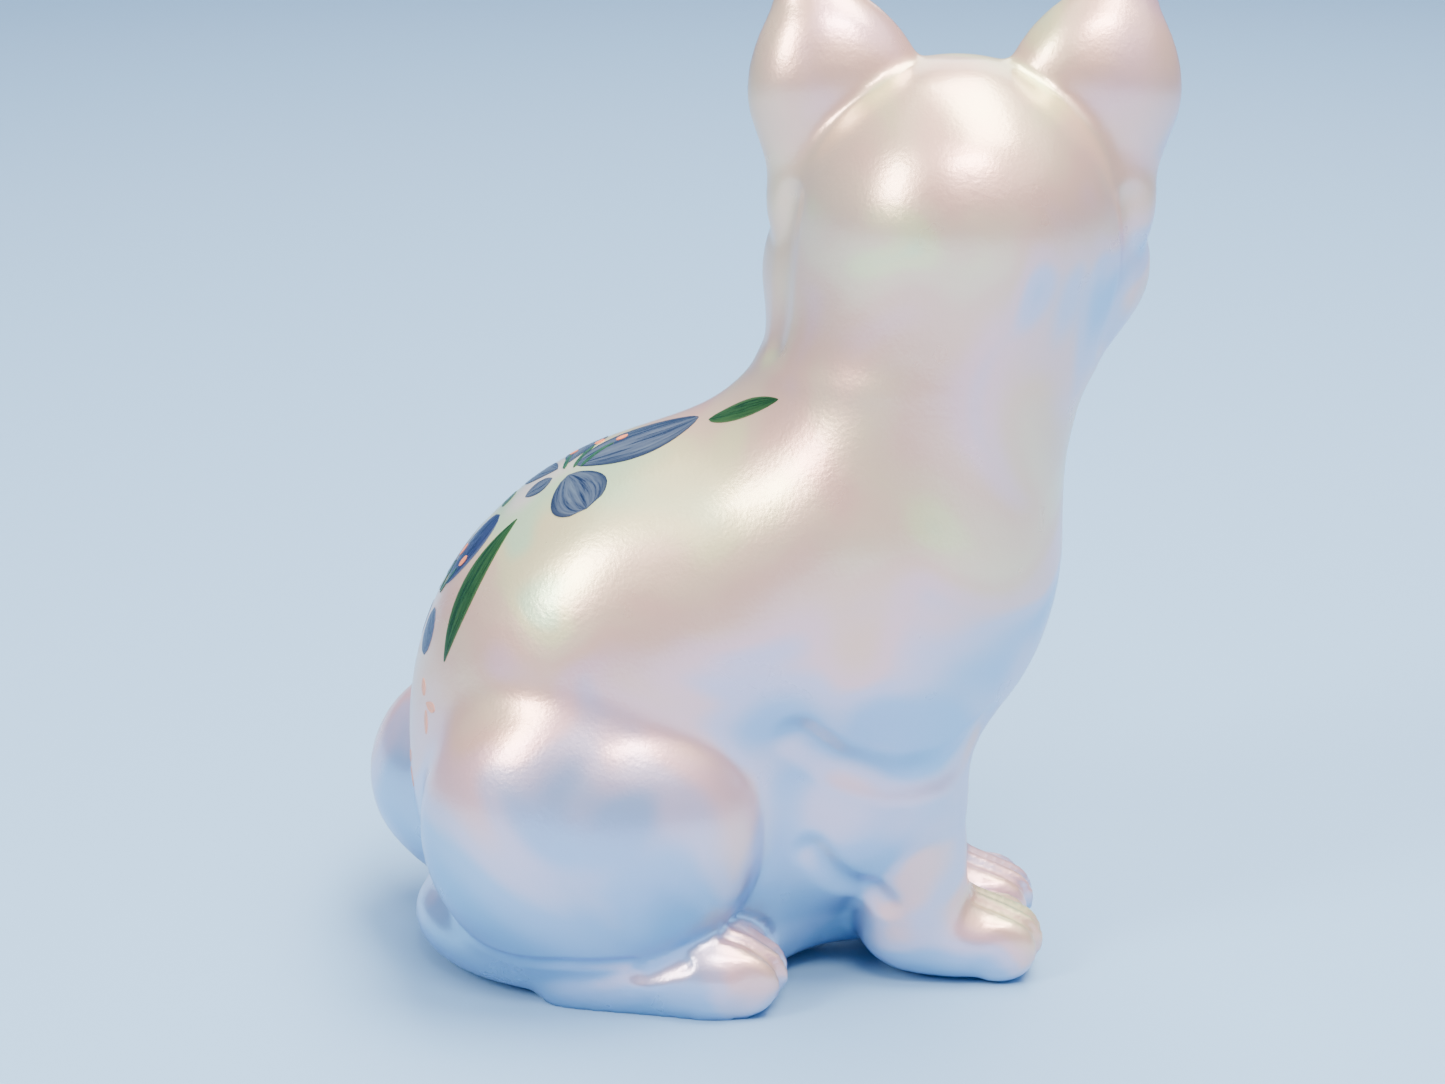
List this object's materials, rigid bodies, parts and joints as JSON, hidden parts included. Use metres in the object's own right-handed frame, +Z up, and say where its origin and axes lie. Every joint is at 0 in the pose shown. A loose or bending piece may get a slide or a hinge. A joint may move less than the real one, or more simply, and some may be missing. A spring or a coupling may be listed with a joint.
{
  "type": "cat figurine",
  "caption": "Seated cat figurine in white ware with a pearl lustre glaze, head turned to its left, enamel flowers on the back; stands free as an ornament.",
  "frame": {"origin": "on the table under the figure, in the plane of the flat base", "axes": "+X towards the forepaws, +Y to the cat's left, where the face looks, +Z up"},
  "size_m": [0.0761, 0.0466, 0.095],
  "materials": {
    "pearl_glaze": "white ware under a clear glossy glaze with an iridescent pearl lustre",
    "grey_blue_enamel": "streaked grey-blue painted enamel, satin gloss",
    "dark_blue_enamel": "dark blue painted enamel with paler streaks, satin gloss",
    "dark_green_enamel": "dark green fine brush lines, satin gloss",
    "anther_enamel": "orange-red painted dots, satin gloss",
    "leaf_enamel": "green painted enamel with darker veins, satin gloss",
    "sprig_enamel": "thin orange painted enamel, satin gloss",
    "iris_enamel": "green painted enamel, gloss",
    "black_enamel": "black painted enamel, gloss",
    "nose_enamel": "pink painted enamel, gloss"
  },
  "bodies": {
    "root": {"torso": "pearl_glaze", "head": "pearl_glaze", "right_ear": "pearl_glaze", "left_ear": "pearl_glaze", "right_hind_foot": "pearl_glaze", "left_hind_foot": "pearl_glaze", "right_foreleg": "pearl_glaze", "left_foreleg": "pearl_glaze", "tail": "pearl_glaze", "back_petal_front": "grey_blue_enamel", "back_petal_right": "grey_blue_enamel", "back_petal_rear": "grey_blue_enamel", "back_petal_far": "grey_blue_enamel", "back_petal_left": "grey_blue_enamel", "rump_petal_upper_right": "dark_blue_enamel", "rump_petal_upper_left": "dark_blue_enamel", "rump_petal_left": "dark_blue_enamel", "rump_petal_lower_left": "dark_blue_enamel", "rump_petal_lower_right": "dark_blue_enamel", "back_stamen_1": "dark_green_enamel", "back_stamen_2": "dark_green_enamel", "back_stamen_3": "dark_green_enamel", "rump_stamen_1": "dark_green_enamel", "rump_stamen_2": "dark_green_enamel", "back_anther_1": "anther_enamel", "back_anther_2": "anther_enamel", "back_anther_3": "anther_enamel", "rump_anther_1": "anther_enamel", "rump_anther_2": "anther_enamel", "nape_leaf": "leaf_enamel", "bud_leaf": "leaf_enamel", "long_leaf": "leaf_enamel", "upper_sprig_bud": "sprig_enamel", "upper_sprig_side": "sprig_enamel", "upper_sprig_stem": "sprig_enamel", "lower_sprig_bud": "sprig_enamel", "lower_sprig_stem": "sprig_enamel", "right_iris": "iris_enamel", "left_iris": "iris_enamel", "right_pupil": "black_enamel", "left_pupil": "black_enamel", "nose": "nose_enamel"}
  },
  "joints": []
}
